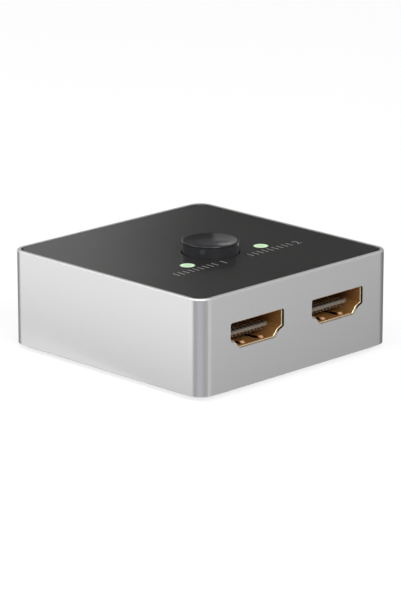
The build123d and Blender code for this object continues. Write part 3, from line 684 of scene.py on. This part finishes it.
def floor_material():
    """White paper sweep, open from below so that the underside can be seen."""
    material, tree, _ = new_material("white_floor")
    ray = add_node(tree, "ShaderNodeLightPath")
    seen = add_node(tree, "ShaderNodeMath",
                    {0: ray.outputs["Is Camera Ray"], 1: ray.outputs["Is Glossy Ray"]},
                    operation="MAXIMUM")
    seen = add_node(tree, "ShaderNodeMath",
                    {0: seen.outputs[0], 1: ray.outputs["Is Transmission Ray"]},
                    operation="MAXIMUM")
    paper = add_node(tree, "ShaderNodeBsdfDiffuse", {"Color": hex_colour("#F4F4F4")})
    glow = add_node(tree, "ShaderNodeEmission", {"Color": hex_colour("#FFFFFF"), "Strength": 1.0})
    blend = add_node(tree, "ShaderNodeMath", {0: seen.outputs[0], 1: FLOOR_GLOW},
                     operation="MULTIPLY")
    above = add_node(tree, "ShaderNodeMixShader",
                     {0: blend.outputs[0], 1: paper.outputs[0], 2: glow.outputs[0]})
    below = add_node(tree, "ShaderNodeNewGeometry").outputs["Backfacing"]
    clear = add_node(tree, "ShaderNodeBsdfTransparent")
    shader = add_node(tree, "ShaderNodeMixShader",
                      {0: below, 1: above.outputs[0], 2: clear.outputs[0]})
    add_node(tree, "ShaderNodeOutputMaterial", {"Surface": shader.outputs[0]})
    return material


flat_piece("floor", FLOOR_SIZE, (0, 0, 0), Matrix.Identity(4), floor_material())

# The flag stands square to the view, from straight behind the box to the
# right, and only reflections show it. At the height that the panel mirrors,
# its left edge fades out. Places across it are in metres to the right of the
# line of sight
FLAG_DISTANCE = 0.9
FLAG_LEFT, FLAG_RIGHT, FLAG_TOP = -0.063, 0.36, 0.8
FLAG_EDGE = -0.011
FLAG_EDGE_BLUR = 0.001
FLAG_FADE_END = -0.020
FADE_LOW, FADE_HIGH = 0.21, 0.33
FADE_BLUR = 0.01


def flag_cloth():
    """Grey flag cloth, thinning out at its left edge."""
    material, tree, place = new_material("dark_flag")
    split = add_node(tree, "ShaderNodeSeparateXYZ", {0: place})
    along = add_node(tree, "ShaderNodeMath", {0: split.outputs[0], 1: split.outputs[1]},
                     operation="SUBTRACT")
    along = add_node(tree, "ShaderNodeMath", {0: along.outputs[0], 1: math.sqrt(0.5)},
                     operation="MULTIPLY").outputs[0]
    full = add_node(tree, "ShaderNodeMapRange",
                    {"Value": along, "From Min": FLAG_EDGE - FLAG_EDGE_BLUR,
                     "From Max": FLAG_EDGE})
    thin = add_node(tree, "ShaderNodeMapRange",
                    {"Value": along, "From Min": FLAG_LEFT, "From Max": FLAG_FADE_END})
    band = between(tree, split.outputs[2], FADE_LOW, FADE_HIGH, FADE_BLUR)
    fade = add_node(tree, "ShaderNodeMath", {0: thin.outputs[0], 1: band}, operation="MULTIPLY")
    share = add_node(tree, "ShaderNodeMath", {0: full.outputs[0], 1: fade.outputs[0]},
                     operation="MAXIMUM")
    share = add_node(tree, "ShaderNodeMix",
                     {"Factor": band, 2: share.outputs[0], 3: fade.outputs[0]})
    cloth = add_node(tree, "ShaderNodeBsdfDiffuse", {"Color": hex_colour("#585858")})
    clear = add_node(tree, "ShaderNodeBsdfTransparent")
    shader = add_node(tree, "ShaderNodeMixShader",
                      {0: share.outputs[0], 1: clear.outputs[0], 2: cloth.outputs[0]})
    add_node(tree, "ShaderNodeOutputMaterial", {"Surface": shader.outputs[0]})
    return material


view_turn = Matrix.Rotation(math.radians(CAMERA_BEARING - 270), 4, "Z")
flag_middle = view_turn @ Vector(((FLAG_LEFT + FLAG_RIGHT) / 2, FLAG_DISTANCE, FLAG_TOP / 2))
dark_flag = flat_piece("dark_flag", (FLAG_RIGHT - FLAG_LEFT, FLAG_TOP), flag_middle,
                       view_turn @ Matrix.Rotation(math.radians(90), 4, "X"), flag_cloth())
dark_flag.visible_camera = False

CARD_LEVEL = 0.05 * MM
CARD_REACH = 0.35
CARD_BLEND = 0.05  # distance from the box at which a card has its outer level
CARD_STEPS = 12
CORNER_RADIUS = 3.3 * MM
CORNER = BODY_FRONT - CORNER_RADIUS


def card_light(name, near, far, tint, slope):
    """Plain light, with one level beside the box and another further out."""
    material, tree, place = new_material(name)
    split = add_node(tree, "ShaderNodeSeparateXYZ", {0: place})
    sides = [add_node(tree, "ShaderNodeMath", {0: split.outputs[axis]}, operation="ABSOLUTE")
             for axis in (0, 1)]
    reach = add_node(tree, "ShaderNodeMath", {0: sides[0].outputs[0], 1: sides[1].outputs[0]},
                     operation="MAXIMUM")
    level = add_node(tree, "ShaderNodeMapRange",
                     {"Value": reach.outputs[0], "From Min": BODY_FRONT,
                      "From Max": BODY_FRONT + CARD_BLEND, "To Min": near, "To Max": far})
    along = add_node(tree, "ShaderNodeMath", {0: split.outputs[0], 1: split.outputs[1]},
                     operation="ADD")
    side = add_node(tree, "ShaderNodeMapRange",
                    {"Value": along.outputs[0], "From Min": -2 * BODY_FRONT, "From Max": 0.0,
                     "To Min": 1 + slope, "To Max": 1 - slope})
    strength = add_node(tree, "ShaderNodeMath", {0: level.outputs[0], 1: side.outputs[0]},
                        operation="MULTIPLY")
    shader = add_node(tree, "ShaderNodeEmission",
                      {"Color": hex_colour(tint), "Strength": strength.outputs[0]})
    add_node(tree, "ShaderNodeOutputMaterial", {"Surface": shader.outputs[0]})
    return material


def floor_card(name, corner, start, end, near, far, lift=0.0, tint="#FFFFFF", slope=0.0):
    """A fan on the floor that only the metal mirrors, round one corner of the
    box. It spans two bearings in degrees, each drawn from the point of the
    rounded corner that mirrors it, so that its edges stand upright in the
    metal. It has its own level beside the box and further out, and with a
    slope it is brighter toward the near corner."""
    shape = bmesh.new()
    bmesh.ops.create_grid(shape, x_segments=CARD_STEPS, y_segments=1, size=0.5)
    for vertex in shape.verts:
        bearing = start + (end - start) * (0.5 - vertex.co.x)
        mirror = (bearing + CAMERA_BEARING) / 2
        foot, out = (Vector((math.cos(math.radians(angle)), math.sin(math.radians(angle)), 0))
                     for angle in (mirror, bearing))
        vertex.co = (Vector((*corner, CARD_LEVEL + lift)) + foot * CORNER_RADIUS
                     + out * CARD_REACH * (0.5 + vertex.co.y))
    card = new_piece(name, shape, card_light(name, near, far, tint, slope))
    card.visible_camera = card.visible_diffuse = False
    card.visible_shadow = card.visible_transmission = False


near_corner, right_corner, left_corner = (-CORNER, -CORNER), (CORNER, -CORNER), (-CORNER, CORNER)
floor_card("card_left", near_corner, 100, 172, 0.82, 1.21)
floor_card("card_left_flank", near_corner, 172, 200, 0.47, 0.47)
floor_card("card_front", near_corner, 200, 240, 0.66, 0.67, tint="#F8F7FF")
floor_card("card_right_flank", near_corner, 240, 278, 0.49, 0.49)
floor_card("card_stripe", near_corner, 278, 297, 0.8, 0.86)
floor_card("card_right", near_corner, 297, 360, 0.54, 0.66, slope=0.07)
floor_card("card_back_right", right_corner, 334, 405, 0.24, 0.24, lift=CARD_LEVEL)
floor_card("card_back_left", left_corner, 45, 112, 0.34, 0.34, lift=CARD_LEVEL)

world = bpy.data.worlds.new("studio")
bpy.context.scene.world = world
world.use_nodes = True
world_tree = world.node_tree
world_tree.nodes.clear()
sky = add_node(world_tree, "ShaderNodeBackground",
               {"Color": hex_colour("#FFFFFF"), "Strength": 0.5})
add_node(world_tree, "ShaderNodeOutputWorld", {"Surface": sky.outputs[0]})


def soft_lamp(name, place, aim, size, watts):
    """A rectangular lamp at one place, facing another."""
    data = bpy.data.lights.new(name, "AREA")
    data.shape = "RECTANGLE"
    data.size, data.size_y = size
    data.energy = watts
    lamp = bpy.data.objects.new(name, data)
    lamp.location = place
    lamp.rotation_euler = (Vector(aim) - Vector(place)).to_track_quat("-Z", "Y").to_euler()
    bpy.context.scene.collection.objects.link(lamp)


soft_lamp("left_lamp", (-0.9, 0.6, 0.9), (0, 0, 0.01), (0.8, 0.8), 6)
soft_lamp("top_lamp", (-0.3, -0.2, 1.2), (0, 0, 0), (1.0, 1.0), 6)
soft_lamp("front_lamp", (-0.35, -0.9, 0.72), (0, 0, 0.01), (0.6, 0.4), 7)
